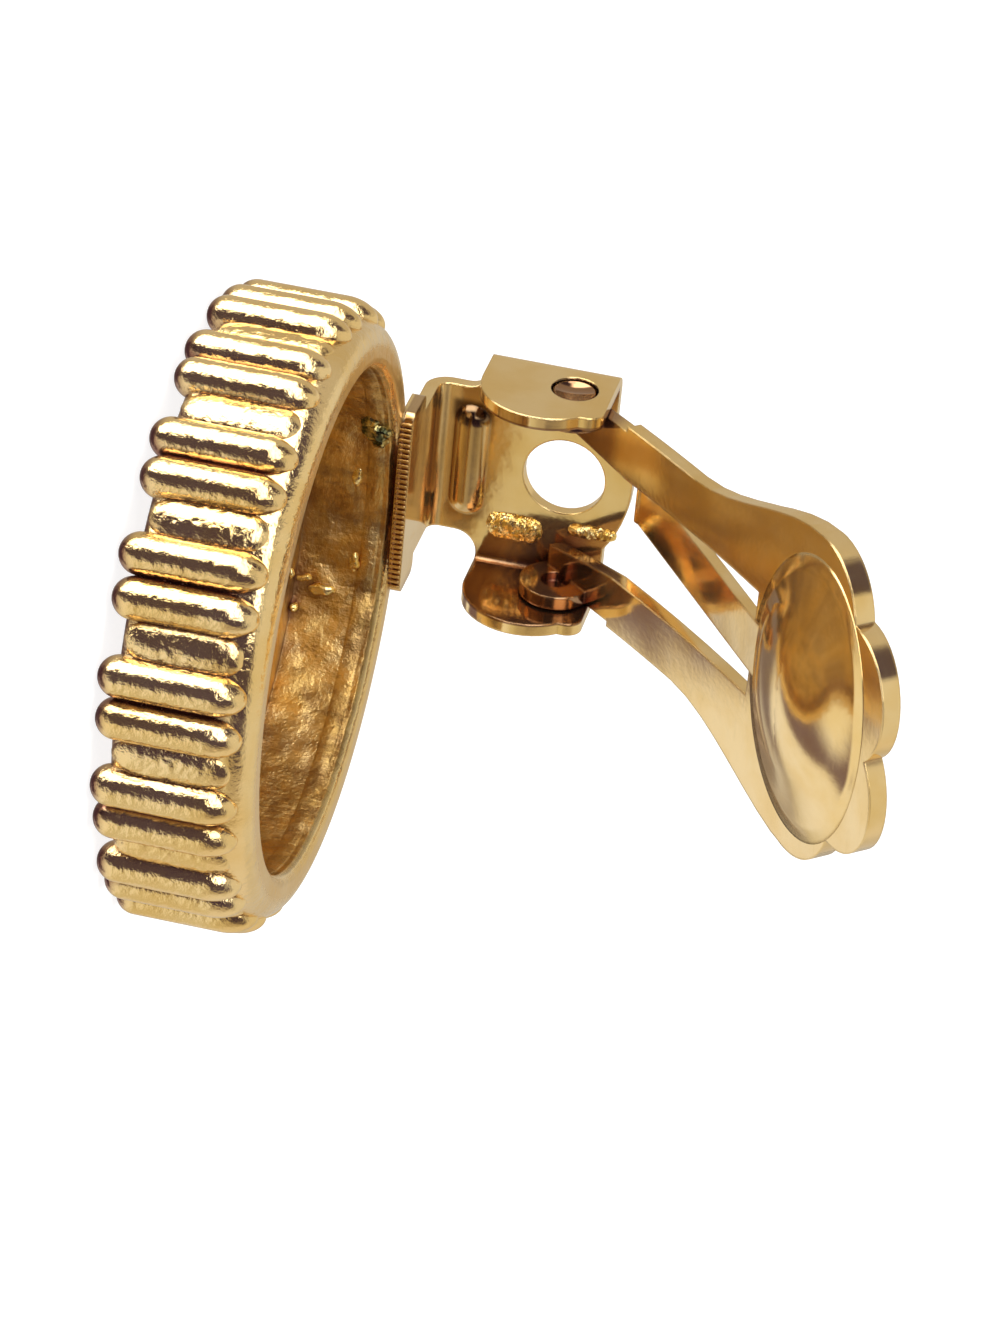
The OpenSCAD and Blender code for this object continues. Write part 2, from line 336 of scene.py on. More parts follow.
@dataclass(frozen=True)
class CastGoldFinish:
    """Plated casting: polished ribs and lip, granular valleys between the pairs, matt hollow, with
    shade painted between the ears, over the web's bar and into recesses.
    """

    shape: ButtonShape
    tone: GoldTone = GoldTone()
    bar_shade: tuple[float, ...] = linear(70, 40, 34)
    polish: float = 0.10
    valley_roughness: float = 0.13
    hollow_roughness: float = 0.24
    edge_radius: float = 0.09
    rim_from: float = 0.7
    ear_in_x: float = 3.37
    web_y: float = -9.815
    bar_z: float = 6.0
    bar_half_x: float = 2.15
    bar_half_z: float = 0.75
    cloud_scale: float = 0.55
    crackle_scale: float = 5.0
    grain_scale: float = 9.0
    lump_scale: float = 0.75
    patch_scale: float = 0.8
    ripple_depth: float = 0.03
    pit_depth: float = 0.024
    swell_depth: float = 0.34
    texture_depth: float = 0.10

    def material(self) -> bpy.types.Material:
        """Builds the material.

        Returns:
            A material that reads the button's own coordinates.
        """
        made, graph = new_graph("cast_gold")
        place = graph.place()
        x, y, z = graph.split(place)
        side = y - self.shape.axis_y
        radius = (x * x + side * side).root()
        turn = graph.math("ARCTAN2", side, x) * (self.shape.pairs / (2 * math.pi))
        off_pair = abs(turn.fraction() - 0.5) * self.shape.pitch
        rib_edge = self.shape.spread / 2 + self.shape.rib_half_angle
        rim_r = self.shape.hollow_r + self.rim_from
        at_rim = radius.rise(rim_r, rim_r + 0.25)
        valley = (
            off_pair.rise(rib_edge - 1.1, rib_edge - 0.2) * at_rim
            * z.rise(self.shape.rib_back_z + 0.15, self.shape.rib_back_z - 0.35)
            * radius.rise(self.shape.rib_axis_r + 0.28, self.shape.rib_axis_r + 0.12)
        )
        seam = off_pair.rise(1.0, 0.2) * at_rim * radius.rise(9.1, 8.9)
        in_hollow = (
            radius.rise(self.shape.hollow_r + 0.08, self.shape.hollow_r - 0.02)
            * z.rise(self.shape.hollow_z - 0.4, self.shape.hollow_z - 0.1)
            * z.rise(self.shape.depth - 0.05, self.shape.depth - 0.3)
        )
        back_face = z.rise(self.shape.depth - 0.12, self.shape.depth - 0.03) * radius.rise(8.4, 8.0)
        sheet = self._either(z.rise(self.shape.depth + 0.02, self.shape.depth + 0.08),
                             radius.rise(9.6, 9.8))
        cast = 1.0 - sheet
        before_web = y.rise(self.web_y - 0.05, self.web_y)
        # Where shade is painted: the inner faces of the ears and the web between them.
        shade_between_ears = (
            sheet * before_web * abs(x).rise(self.ear_in_x - 0.7, self.ear_in_x)
            * abs(x).rise(self.ear_in_x + 0.10, self.ear_in_x + 0.05)
        )
        # Where shade is painted over the web's stiffening bar, and its end at positive X.
        bar = (
            before_web * abs(x).rise(self.bar_half_x, self.bar_half_x - 0.25)
            * abs(z - self.bar_z).rise(self.bar_half_z, self.bar_half_z - 0.25)
        )
        bar_end = bar * x.rise(1.2, 1.6)

        cloud = graph.noise(place, self.cloud_scale, 3.0)
        crackle = graph.noise(place, self.crackle_scale, 3.0, 0.6)
        grain = graph.noise(place, self.grain_scale, 2.0, 0.65)
        strokes = graph.noise(graph.scaled(place, (0.9, 6.5, 3.0)), 1.0, 4.0, 0.65)
        blotch = graph.noise(place, 1.1, 4.0, 0.6)
        lumps = graph.noise(place, self.lump_scale, 1.0)
        patches = graph.noise(place, self.patch_scale, 5.0, 0.62)

        rough = self.polish + cast * crackle.rise(0.52, 0.8) * 0.10 + cloud.rise(0.5, 0.8) * 0.05
        rough = rough + valley * (self.valley_roughness - self.polish) + seam * 0.12
        rough = rough + in_hollow * (self.hollow_roughness - self.polish + blotch * 0.24)
        rough = rough + back_face * cast * 0.20

        colour = graph.mix(cloud.rise(0.3, 0.7), self.tone.bright, self.tone.deep)
        stained = in_hollow * (0.55 + 0.45 * blotch.rise(0.35, 0.65))
        colour = graph.mix(stained, colour, self.tone.matt)
        colour = graph.mix(in_hollow * patches.rise(0.50, 0.66) * 0.5, colour, self.tone.amber)
        colour = graph.mix(in_hollow * patches.rise(0.52, 0.36) * 0.6, colour, self.tone.stain)
        colour = graph.mix(in_hollow * strokes.rise(0.54, 0.72) * 0.4, colour, self.tone.stain)
        colour = graph.mix(back_face * cast * 0.3, colour, self.tone.matt)
        # Painted shade between the ears.
        colour = graph.mix(shade_between_ears * 0.75, colour, self.tone.painted_shade)
        # Painted shade: the bar is darkened towards the stain colour, and its end further towards
        # the darker shade colour.
        colour = graph.mix(bar * 0.35, colour, self.tone.stain)
        colour = graph.mix(bar_end * 0.8, colour, self.bar_shade)
        # Painted shade: darker where the casting is hemmed in.
        colour = painted_recess_shade(graph, colour, self.tone.painted_shade)

        soft = graph.node("ShaderNodeBevel", {"samples": 4}, {"Radius": self.edge_radius * MM})
        waves = graph.noise(place, 2.2, 2.0) * (0.15 + 0.85 * cast)
        ripple = graph.bump(waves, self.ripple_depth, soft)
        pitted = graph.bump(crackle * (1.0 - in_hollow) * cast, self.pit_depth, ripple)
        swell = graph.bump(lumps * in_hollow, self.swell_depth, pitted)
        height = valley * grain * 0.28 + in_hollow * (strokes * 0.5 + grain * 0.25)
        normal = graph.bump(height, self.texture_depth, swell)
        metal(graph, colour, rough, normal)
        return made

    @staticmethod
    def _either(first: Term, second: Term) -> Term:
        """Joins two masks."""
        return first.graph.math("MAXIMUM", first, second)


@dataclass(frozen=True)
class SheetGoldFinish:
    """Plated stamped sheet, mirror bright with a faint waviness and soft edges, with shade painted
    into the pivot dish, near the hinge and into recesses.
    """

    hinge_y: float
    hinge_z: float
    tone: GoldTone = GoldTone()
    polish: float = 0.12
    edge_radius: float = 0.10
    pivot_x: float = 3.5
    dish_r: float = 0.62
    dish_depth: float = 0.26
    tab_shade_reach: float = 3.4
    cross_bow_r: float = 30.0
    cross_bow_half: float = 5.0
    wave_depth: float = 0.03
    grain_depth: float = 0.0015

    def material(self) -> bpy.types.Material:
        """Builds the material.

        Returns:
            A material that reads the piece's own coordinates.
        """
        made, graph = new_graph("sheet_gold")
        place = graph.place()
        cloud = graph.noise(place, 0.7, 3.0)
        scuffs = graph.noise(graph.scaled(place, (1.0, 3.0, 6.0)), 1.6, 4.0, 0.6)
        x, y, z = graph.split(place)
        off_y = y - self.hinge_y
        off_z = z - self.hinge_z
        from_axis = (off_y * off_y + off_z * off_z).root() / self.dish_r
        dish = from_axis.rise(1.03, 0.97) * abs(x).rise(self.pivot_x, self.pivot_x + 0.05)
        colour = graph.mix(cloud.rise(0.3, 0.7), self.tone.bright, self.tone.deep)
        # Where shade is painted on the arms near the hinge, inside the ears.
        tab_shade = (
            from_axis.rise(self.tab_shade_reach, self.tab_shade_reach - 1.2)
            * abs(x).rise(self.pivot_x, self.pivot_x - 0.1)
        )
        # Painted shade: the pivot dish in the ear and the arms near the hinge are darkened towards
        # the shade colour.
        colour = graph.mix(dish * 0.8, colour, self.tone.painted_shade)
        colour = graph.mix(tab_shade * 0.7, colour, self.tone.painted_shade)
        # Painted shade: darker where the sheet is hemmed in.
        colour = painted_recess_shade(graph, colour, self.tone.painted_shade)
        rough = self.polish + scuffs.rise(0.5, 0.85) * 0.08 + cloud.rise(0.55, 0.8) * 0.03
        soft = graph.node("ShaderNodeBevel", {"samples": 4}, {"Radius": self.edge_radius * MM})
        across = x / self.cross_bow_half
        bow = self.cross_bow_half ** 2 / (2 * self.cross_bow_r)
        bowed = graph.bump(-(across * across), bow, soft)
        wave = graph.bump(graph.noise(place, 0.45, 0.0), self.wave_depth, bowed)
        dished = graph.bump(dish * from_axis * from_axis, self.dish_depth, wave)
        normal = graph.bump(graph.noise(place, 6.0, 2.0), self.grain_depth, dished)
        metal(graph, colour, rough, normal)
        return made


@dataclass(frozen=True)
class StoneFinish:
    """Clear cut stone over a silvered foil."""

    axis_y: float
    facets: int = 16
    refraction: float = 1.56
    cone_slope: float = 0.45
    facet_slope: float = 0.16

    def material(self) -> bpy.types.Material:
        """Builds the stone's glass.

        Returns:
            A clear material with a faint cast of colour.
        """
        made, graph = new_graph("cut_stone")
        cloud = graph.noise(graph.place(), 0.3, 1.0)
        colour = graph.mix(cloud, linear(238, 244, 250), linear(252, 253, 255))
        rough = 0.01 + cloud.rise(0.5, 0.9) * 0.02
        shader = graph.node(
            "ShaderNodeBsdfPrincipled", None,
            {
                "Base Color": colour, "Roughness": rough, "IOR": self.refraction,
                "Transmission Weight": 1.0,
            },
        )
        graph.node("ShaderNodeOutputMaterial", None, {0: shader})
        return made

    def foil(self) -> bpy.types.Material:
        """Builds the foil behind the stone.

        Returns:
            A silver material with the stone's lower facets pressed into it.
        """
        made, graph = new_graph("stone_foil")
        x, y, _ = graph.split(graph.place())
        side = y - self.axis_y
        radius = (x * x + side * side).root()
        turn = graph.math("ARCTAN2", side, x) * (self.facets / (2 * math.pi))
        tent = abs(turn.fraction() - 0.5)
        colour = graph.mix(tent * 2.0, linear(236, 238, 242), linear(250, 250, 252))
        height = radius * self.cone_slope + tent * radius * self.facet_slope
        shader = graph.node(
            "ShaderNodeBsdfPrincipled", None,
            {
                "Base Color": colour, "Metallic": 1.0, "Roughness": 0.08 + tent * 0.04,
                "Normal": graph.bump(height, 1.0),
            },
        )
        graph.node("ShaderNodeOutputMaterial", None, {0: shader})
        return made


@dataclass(frozen=True)
class SolderFinish:
    """Dull grey-green solder that stands proud of the plating, and the dark flux beside it."""

    flux: tuple[float, ...] = linear(70, 72, 48)
    solder: tuple[float, ...] = linear(214, 196, 128)
    roughness: float = 0.16
    patch_scale: float = 3.2
    lump_depth: float = 0.03

    def material(self) -> bpy.types.Material:
        """Builds the material.

        Returns:
            A mottled dark metal.
        """
        made, graph = new_graph("solder")
        place = graph.place()
        patch = graph.noise(place, self.patch_scale, 3.0, 0.6)
        colour = graph.mix(patch.rise(0.4, 0.6), self.flux, self.solder)
        rough = self.roughness + patch.rise(0.45, 0.7) * 0.2
        normal = graph.bump(graph.noise(place, 7.0, 2.0), self.lump_depth)
        metal(graph, colour, rough, normal)
        return made


@dataclass(frozen=True)
class CrumpledGoldFinish:
    """Thick, lumpy plating where the sheet was crimped or the plating splashed."""

    bright: tuple[float, ...] = linear(255, 234, 168)
    deep: tuple[float, ...] = linear(248, 206, 108)
    roughness: float = 0.24
    patch_scale: float = 2.6
    lump_depth: float = 0.04

    def material(self) -> bpy.types.Material:
        """Builds the material.

        Returns:
            A bright, slightly rough gold that reads the piece's own coordinates.
        """
        made, graph = new_graph("crumpled_gold")
        place = graph.place()
        patch = graph.noise(place, self.patch_scale, 3.0, 0.6)
        colour = graph.mix(patch.rise(0.4, 0.6), self.bright, self.deep)
        rough = self.roughness + patch.rise(0.45, 0.7) * 0.12
        normal = graph.bump(graph.noise(place, 5.0, 2.0), self.lump_depth)
        metal(graph, colour, rough, normal)
        return made


class Finishes:
    """The materials, each built once."""

    def __init__(self, shape: ButtonShape, hinge: Vector) -> None:
        """Builds every material."""
        stone = StoneFinish(axis_y=shape.axis_y)
        self.casting = CastGoldFinish(shape).material()
        self.sheet = SheetGoldFinish(hinge.y / MM, hinge.z / MM).material()
        self.stone = stone.material()
        self.foil = stone.foil()
        self.solder = SolderFinish().material()
        self.crumpled = CrumpledGoldFinish().material()


def add_piece(
    name: str, mesh: bpy.types.Mesh, material: bpy.types.Material, body: Body
) -> bpy.types.Object:
    """Puts a finished mesh into the scene as a piece of the earring.

    Args:
        name: The piece's name.
        mesh: Its mesh, in metres in the model's frame.
        material: Its finish.
        body: The body that it moves with.

    Returns:
        The new object.
    """
    mesh.name = name
    mesh.materials.clear()
    mesh.materials.append(material)
    piece = bpy.data.objects.new(name, mesh)
    bpy.context.scene.collection.objects.link(piece)
    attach(piece, body.value)
    LOG.info("%s: %d faces on %s", name, len(mesh.polygons), body.value)
    return piece


class Recipe:
    """A geometry tree with named inputs, run once on a modifier and turned into a plain mesh."""

    def __init__(self, name: str) -> None:
        """Starts an empty tree."""
        self.name = name
        self.tree = bpy.data.node_groups.new(name, "GeometryNodeTree")
        self.graph = Graph(self.tree)
        self.tree.interface.new_socket(
            "Geometry", in_out="OUTPUT", socket_type="NodeSocketGeometry"
        )
        self.entry = self.tree.nodes.new("NodeGroupInput")
        self.values: dict[str, object] = {}

    def size(self, name: str, value: float | int) -> Term:
        """Adds a named input.

        Args:
            name: The input's name.
            value: What the modifier gives it. A whole number makes a whole-number input.

        Returns:
            The input inside the tree.
        """
        kind = "NodeSocketInt" if isinstance(value, int) else "NodeSocketFloat"
        made = self.tree.interface.new_socket(name, in_out="INPUT", socket_type=kind)
        self.values[made.identifier] = value
        return Term(self.graph, self.entry.outputs[name])

    def mesh(self, result: Term, material: bpy.types.Material) -> bpy.types.Mesh:
        """Ends the tree and runs it.

        Args:
            result: The geometry to hand over, instances among it.
            material: The material that every face gets.

        Returns:
            The plain mesh.
        """
        real = self.graph.node("GeometryNodeRealizeInstances", None, {0: result})
        painted = self.graph.node(
            "GeometryNodeSetMaterial", None, {"Geometry": real, "Material": material}
        )
        self.graph.node("NodeGroupOutput", None, {0: painted})
        holder = bpy.data.objects.new(self.name, bpy.data.meshes.new(self.name))
        bpy.context.scene.collection.objects.link(holder)
        modifier = holder.modifiers.new(self.name, "NODES")
        modifier.node_group = self.tree
        for identifier, value in self.values.items():
            modifier[identifier] = value
        bpy.context.view_layer.update()
        shown = holder.evaluated_get(bpy.context.evaluated_depsgraph_get())
        made = bpy.data.meshes.new_from_object(shown)
        bpy.data.objects.remove(holder)
        return made


def lumpy_bar(graph: Graph, half_x: Term, half_y: Term, low: float, high: float) -> Term:
    """Makes a bar along Z with blunt, tapered ends.

    Args:
        graph: The geometry tree.
        half_x: Half of its thickness along X.
        half_y: Half of its thickness along Y.
        low: Z of its lower end, in millimetres.
        high: Z of its upper end.

    Returns:
        The closed bar.
    """
    bar = graph.node(
        "GeometryNodeMeshCylinder", None,
        {"Vertices": 40, "Side Segments": 64, "Radius": 1.0, "Depth": 2.0},
    )
    x, y, z = graph.split(graph.node("GeometryNodeInputPosition"))
    taper = (1.02 - abs(z) ** 5).root()
    shaped = graph.node(
        "ShaderNodeCombineXYZ", None,
        {0: x * taper * half_x, 1: y * taper * half_y,
         2: z * ((high - low) / 2 * MM) + (high + low) / 2 * MM},
    )
    return graph.node("GeometryNodeSetPosition", None, {"Geometry": bar, "Position": shaped})


def roughened(graph: Graph, shape: Term, height: Term, per_mm: float) -> Term:
    """Raises lumps on a shape.

    Args:
        graph: The geometry tree.
        shape: The geometry, instances among it.
        height: Height of the lumps.
        per_mm: How many lumps there are to a millimetre.

    Returns:
        The lumpy geometry.
    """
    solid = graph.node("GeometryNodeRealizeInstances", None, {0: shape})
    spot = graph.node("GeometryNodeInputPosition")
    lumps = graph.noise(graph.scaled(spot, (1 / MM,) * 3), per_mm, 2.0, 0.6)
    shift = graph.node(
        "ShaderNodeVectorMath", {"operation": "SCALE"},
        {0: graph.node("GeometryNodeInputNormal"), "Scale": (lumps - 0.5) * height * 2.0},
    )
    return graph.node("GeometryNodeSetPosition", None, {"Geometry": solid, "Offset": shift})


def join(graph: Graph, parts: list[Term]) -> Term:
    """Joins several geometries into one."""
    joined = graph.node("GeometryNodeJoinGeometry")
    for part in reversed(parts):
        graph.tree.links.new(part.socket, joined.socket.node.inputs[0])
    return joined


@dataclass
class Button:
    """The casting with the yoke soldered to it: its finish and its small raised details."""

    shape: ButtonShape = field(default_factory=ButtonShape)
    foot_y: float = 7.25
    foot_half: float = 2.8
    foot_low: float = 4.52
    foot_high: float = 4.88
    tooth_pitch: float = 0.17
    tooth_width: float = 0.085
    tooth_reach: float = 0.12
    crown_axis_r: float = 8.66
    crown_half_width: float = 0.62
    crown_rise: float = 0.37
    crown_low: float = 0.56
    crown_high: float = 4.02
    crown_lumps: float = 0.035
    tail_length: float = 1.0
    web_y: float = -9.82
    crimp_lumps: float = 0.10
    # X, half width, rise, low end and high end of each ridge
    crimps: tuple[tuple[float, ...], ...] = (
        (-2.05, 0.42, 0.27, 6.72, 8.50), (-1.74, 0.20, 0.20, 9.25, 10.80),
    )
    # Centre and half sizes of each blob
    solder_blobs: tuple[tuple[float, ...], ...] = (
        (2.55, -6.1, 3.85, 0.34, 0.34, 0.48), (2.9, -6.05, 3.7, 0.30, 0.24, 0.34),
        (2.2, -6.2, 3.95, 0.24, 0.26, 0.30),
    )
    splash_blobs: tuple[tuple[float, ...], ...] = (
        (3.0, -6.15, 2.95, 0.34, 0.16, 0.42), (0.6, -6.5, 3.3, 0.36, 0.10, 0.16),
        (-2.1, -6.05, 3.5, 0.34, 0.12, 0.16), (-3.1, -5.75, 2.6, 0.20, 0.14, 0.46),
        (-2.7, -5.6, 2.1, 0.12, 0.12, 0.24), (-1.85, -4.5, 1.76, 0.10, 0.18, 0.07),
        (-2.3, -5.1, 1.78, 0.20, 0.10, 0.07), (-3.6, -5.3, 1.9, 0.12, 0.22, 0.12),
    )
    blob_lumps: float = 0.09

    def dress(self, node: bpy.types.Object, finishes: Finishes) -> None:
        """Gives the solid its finish."""
        node.data.materials.clear()
        node.data.materials.append(finishes.casting)
        LOG.info("button: casting finish")

    def _around(self, graph: Graph, piece: Term, start: float, radius: float) -> Term:
        """Repeats a piece round the button's axis, once for each pair of ribs.

        Args:
            graph: The tree.
            piece: What is repeated.
            start: Angle of the first, in degrees.
            radius: Distance from the axis, in millimetres.

        Returns:
            The instances.
        """
        index = graph.node("GeometryNodeInputIndex")
        angle = index * math.radians(self.shape.pitch) + math.radians(start)
        spot = graph.node(
            "ShaderNodeCombineXYZ", None,
            {
                0: graph.math("COSINE", angle) * (radius * MM),
                1: graph.math("SINE", angle) * (radius * MM) + self.shape.axis_y * MM,
            },
        )
        points = graph.node(
            "GeometryNodePoints", None, {"Count": self.shape.pairs, "Position": spot}
        )
        turn = graph.node("ShaderNodeCombineXYZ", None, {2: angle})
        return graph.node(
            "GeometryNodeInstanceOnPoints", None,
            {"Points": points, "Instance": piece, "Rotation": turn},
        )

    def valley_crowns(self, finishes: Finishes) -> bpy.types.Object:
        """Makes the low, lumpy crowns of the valleys between the pairs of ribs.

        Args:
            finishes: The materials.

        Returns:
            The crowns, one in each valley.
        """
        recipe = Recipe("valley_crowns")
        graph = recipe.graph
        rise = recipe.size("rise", self.crown_rise * MM)
        half_width = recipe.size("half width", self.crown_half_width * MM)
        lump_height = recipe.size("lump height", self.crown_lumps * MM)
        crown = lumpy_bar(graph, rise, half_width, self.crown_low, self.crown_high)
        placed = self._around(graph, crown, 0.0, self.crown_axis_r)
        mesh = recipe.mesh(roughened(graph, placed, lump_height, 3.2), finishes.casting)
        return add_piece("valley_crowns", mesh, finishes.casting, Body.FRONT)

    def rib_tails(self, finishes: Finishes) -> bpy.types.Object:
        """Makes the tapered ends by which the ribs run out over the back lip.

        Args:
            finishes: The materials.

        Returns:
            The tails, one for each rib.
        """
        recipe = Recipe("rib_tails")
        graph = recipe.graph
        length = recipe.size("half length", self.tail_length * MM)
        half_width = recipe.size("half width", self.shape.rib_r * MM)
        ball = graph.node(
            "GeometryNodeMeshUVSphere", None, {"Segments": 48, "Rings": 32, "Radius": 1.0}
        )
        x, y, z = graph.split(graph.node("GeometryNodeInputPosition"))
        middle = (self.shape.rib_back_z - self.shape.rib_r) * MM
        shaped = graph.node(
            "ShaderNodeCombineXYZ", None,
            {0: x * half_width, 1: y * half_width, 2: z * length + middle},
        )
        tail = graph.node("GeometryNodeSetPosition", None, {"Geometry": ball, "Position": shaped})
        tail = graph.node("GeometryNodeSetShadeSmooth", None, {"Geometry": tail})
        rows = [
            self._around(graph, tail, self.shape.pitch / 2 + side, self.shape.rib_axis_r)
            for side in (-self.shape.spread / 2, self.shape.spread / 2)
        ]
        mesh = recipe.mesh(join(graph, rows), finishes.casting)
        return add_piece("rib_tails", mesh, finishes.casting, Body.FRONT)

    def web_crimps(self, finishes: Finishes) -> bpy.types.Object:
        """Makes the crumpled ridges of the web, beside the bend into its lower ear.

        Args:
            finishes: The materials.

        Returns:
            The two ridges.
        """
        recipe = Recipe("web_crimps")
        graph = recipe.graph
        lump_height = recipe.size("lump height", self.crimp_lumps * MM)
        ridges = []
        for x, half_x, rise, low, high in self.crimps:
            size_x = recipe.size(f"half width {x}", half_x * MM)
            size_y = recipe.size(f"rise {x}", rise * MM)
            ridge = lumpy_bar(graph, size_x, size_y, low, high)
            ridges.append(graph.node(
                "GeometryNodeTransform", None,
                {"Geometry": ridge, "Translation": (x * MM, self.web_y * MM, 0.0)},
            ))
        rough = roughened(graph, join(graph, ridges), lump_height, 3.6)
        mesh = recipe.mesh(rough, finishes.crumpled)
        return add_piece("web_crimps", mesh, finishes.crumpled, Body.FRONT)

    def splashes(self, finishes: Finishes) -> list[bpy.types.Object]:
        """Makes the solder bead by the foot and the splashes of plating in the hollow.

        Args:
            finishes: The materials.

        Returns:
            The bead and the splashes.
        """
        bead = self._blobs(self.solder_blobs)
        drops = self._blobs(self.splash_blobs)
        return [
            add_piece("solder_bead", bead, finishes.solder, Body.FRONT),
            add_piece("plating_splashes", drops, finishes.crumpled, Body.FRONT),
        ]

    def _blobs(self, sizes: tuple[tuple[float, ...], ...]) -> bpy.types.Mesh:
        """Makes uneven round blobs.

        Args:
            sizes: Centre and half sizes of each, in millimetres.

        Returns:
            The mesh.
        """
        shell = bmesh.new()
        for x, y, z, half_x, half_y, half_z in sizes:
            place = Matrix.Translation((x, y, z)) @ Matrix.Diagonal((half_x, half_y, half_z, 1.0))
            bmesh.ops.create_icosphere(shell, subdivisions=4, radius=1.0, matrix=place)
        shell.normal_update()
        for vertex in shell.verts:
            lump = self.blob_lumps * noise.noise(vertex.co * 4.5)
            vertex.co = (vertex.co + vertex.normal * lump) * MM
        for face in shell.faces:
            face.smooth = True
        mesh = bpy.data.meshes.new("blobs")
        shell.to_mesh(mesh)
        shell.free()
        return mesh

    def foot_teeth(self, finishes: Finishes) -> bpy.types.Object:
        """Makes the milled teeth along the free edge of the foot.

        Args:
            finishes: The materials.

        Returns:
            The row of teeth.
        """
        recipe = Recipe("foot_teeth")
        graph = recipe.graph
        half = recipe.size("half length", self.foot_half * MM)
        count = recipe.size("teeth", round(2 * self.foot_half / self.tooth_pitch))
        width = recipe.size("tooth width", self.tooth_width * MM)
        height = (self.foot_high - self.foot_low) * MM
        y = (self.shape.axis_y - self.foot_y) * MM
        z = (self.foot_low + self.foot_high) / 2 * MM
        start = graph.node("ShaderNodeCombineXYZ", None, {0: -half, 1: y, 2: z})
        end = graph.node("ShaderNodeCombineXYZ", None, {0: half, 1: y, 2: z})
        row = graph.node(
            "GeometryNodeMeshLine", {"mode": "END_POINTS"},
            {"Count": count, "Start Location": start, "Offset": end},
        )
        reach = self.tooth_reach * MM
        size = graph.node("ShaderNodeCombineXYZ", None, {0: width, 1: reach, 2: height})
        block = graph.node("GeometryNodeMeshCube", None, {"Size": size})
        teeth = graph.node("GeometryNodeInstanceOnPoints", None, {"Points": row, "Instance": block})
        mesh = recipe.mesh(teeth, finishes.sheet)
        return add_piece("foot_teeth", mesh, finishes.sheet, Body.FRONT)


@dataclass
class Stone:
    """The cut stone and the foil behind it."""

    axis_y: float
    foil_r: float = 4.85
    foil_low: float = 1.278
    foil_high: float = 1.29

    def dress(self, node: bpy.types.Object, finishes: Finishes) -> None:
        """Gives the solid its finish."""
        node.data.materials.clear()
        node.data.materials.append(finishes.stone)
        LOG.info("rhinestone: glass")

    def foil(self, finishes: Finishes) -> bpy.types.Object:
        """Makes the thin foil between the stone and its seat.

        Args:
            finishes: The materials.

        Returns:
            The foil.
        """
        shell = bmesh.new()
        middle = (self.foil_low + self.foil_high) / 2
        bmesh.ops.create_cone(
            shell, cap_ends=True, segments=64, radius1=self.foil_r * MM, radius2=self.foil_r * MM,
            depth=(self.foil_high - self.foil_low) * MM,
            matrix=Matrix.Translation((0, self.axis_y * MM, middle * MM)),
        )
        mesh = bpy.data.meshes.new("stone_foil")
        shell.to_mesh(mesh)
        shell.free()
        return add_piece("stone_foil", mesh, finishes.foil, Body.FRONT)


